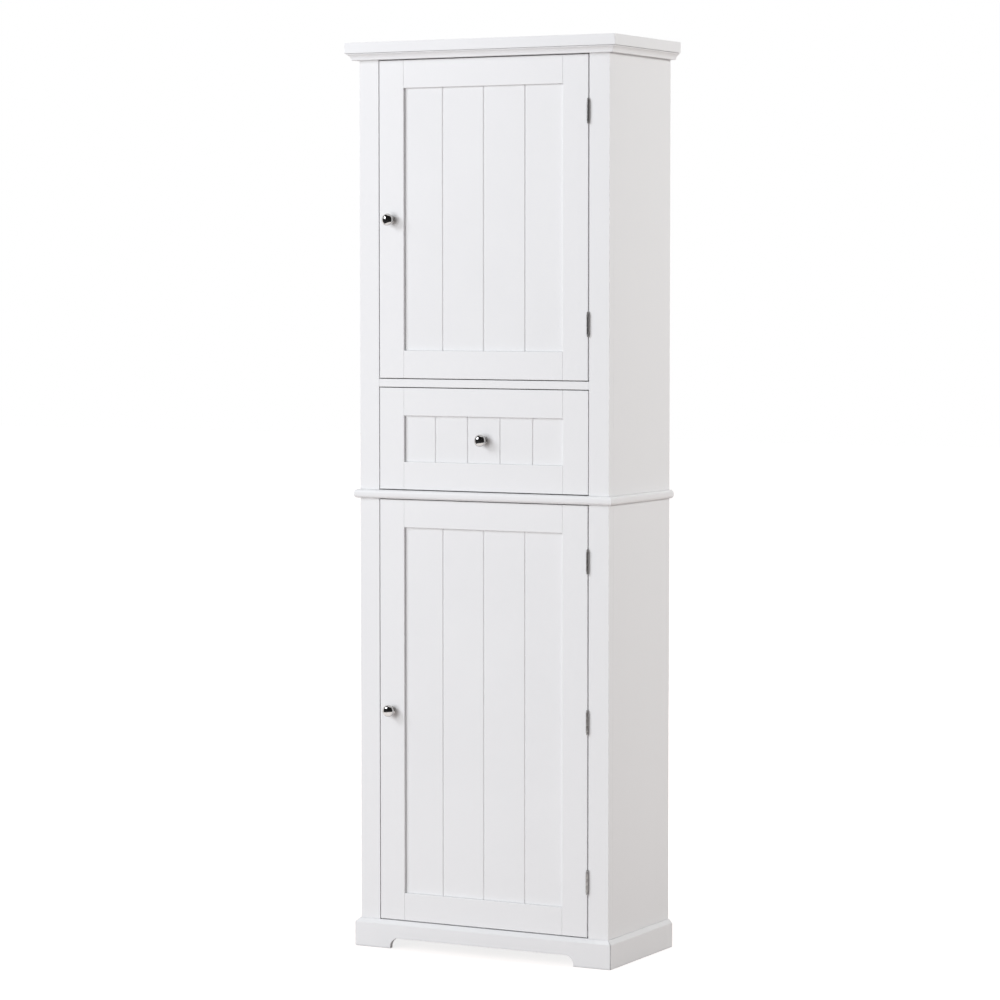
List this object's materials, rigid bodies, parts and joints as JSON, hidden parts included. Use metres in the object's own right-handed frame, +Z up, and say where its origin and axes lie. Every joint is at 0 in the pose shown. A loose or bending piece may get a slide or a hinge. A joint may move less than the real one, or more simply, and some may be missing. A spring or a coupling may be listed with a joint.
{
  "type": "linen cabinet",
  "caption": "Tall narrow cabinet with a hinged upper door, a drawer and a hinged lower door in a face frame, under a moulded top and on a plinth.",
  "frame": {"origin": "on the floor, in the middle of the outline seen from above, knobs included", "axes": "+Z up; the doors and the drawer face -Y; +X to the right of someone facing the doors, where the hinges are"},
  "size_m": [0.566, 0.282, 1.709],
  "materials": {
    "white_paint": "satin white paint",
    "white_hardboard": "matt white laminate",
    "plain_wood": "clear matt",
    "dark_nickel": "polished",
    "zinc_steel": "zinc plated",
    "white_plastic": "matt"
  },
  "bodies": {
    "cabinet": {"top_board": "white_paint", "crown_front": "white_paint", "crown_returns": "white_paint", "frame_top_rail": "white_paint", "upper_side_left": "white_paint", "upper_side_right": "white_paint", "upper_frame_stiles": "white_paint", "drawer_divider": "white_paint", "waist_board": "white_paint", "lower_side_left": "white_paint", "lower_side_right": "white_paint", "lower_frame_stiles": "white_paint", "frame_bottom_rail": "white_paint", "bottom_panel": "white_paint", "plinth_front": "white_paint", "plinth_returns": "white_paint", "upper_back_panel": "white_hardboard", "lower_back_panel": "white_hardboard", "wall_rail": "white_paint", "upper_shelf": "white_paint", "lower_shelf": "white_paint", "shelf_pins": "zinc_steel", "dowels": "plain_wood", "cam_locks": "zinc_steel", "cam_bolts": "zinc_steel", "door_catches": "white_plastic", "hinge_frame_leaves": "dark_nickel", "hinge_pins": "dark_nickel", "cabinet_screws": "zinc_steel", "slide_battens": "plain_wood", "slide_channels": "zinc_steel"},
    "upper_door": {"upper_door_hinge_stile": "white_paint", "upper_door_knob_stile": "white_paint", "upper_door_top_rail": "white_paint", "upper_door_bottom_rail": "white_paint", "upper_door_panel": "white_paint", "upper_door_knob": "dark_nickel", "upper_door_hinge_leaves": "dark_nickel", "upper_door_strike_plate": "zinc_steel", "upper_door_screws": "zinc_steel"},
    "lower_door": {"lower_door_hinge_stile": "white_paint", "lower_door_knob_stile": "white_paint", "lower_door_top_rail": "white_paint", "lower_door_bottom_rail": "white_paint", "lower_door_panel": "white_paint", "lower_door_knob": "dark_nickel", "lower_door_hinge_leaves": "dark_nickel", "lower_door_strike_plate": "zinc_steel", "lower_door_screws": "zinc_steel"},
    "drawer": {"drawer_front_stiles": "white_paint", "drawer_front_rails": "white_paint", "drawer_front_panel": "white_paint", "drawer_knob": "dark_nickel", "drawer_box_sides": "plain_wood", "drawer_box_front": "plain_wood", "drawer_box_back": "plain_wood", "drawer_box_bottom": "white_hardboard", "slide_rails": "zinc_steel", "drawer_screws": "zinc_steel"},
    "ball_cages": {"slide_ball_cages": "zinc_steel"}
  },
  "joints": [
    {"name": "upper_door_hinge", "type": "hinge", "parent": "cabinet", "child": "upper_door", "pos_m": [0.2198, -0.12, 1.378], "axis": [0, 0, 1], "range_deg": [0, 170]},
    {"name": "lower_door_hinge", "type": "hinge", "parent": "cabinet", "child": "lower_door", "pos_m": [0.2198, -0.12, 0.4535], "axis": [0, 0, 1], "range_deg": [0, 170]},
    {"name": "drawer_slide", "type": "slide", "parent": "cabinet", "child": "drawer", "axis": [0, -1, 0], "range_m": [0, 0.15]},
    {"name": "cage_slide", "type": "slide", "parent": "cabinet", "child": "ball_cages", "axis": [0, -1, 0], "range_m": [0, 0.075]}
  ],
  "couplings": [
    {"joint": "cage_slide", "follows": "drawer_slide", "ratio": 0.5}
  ]
}
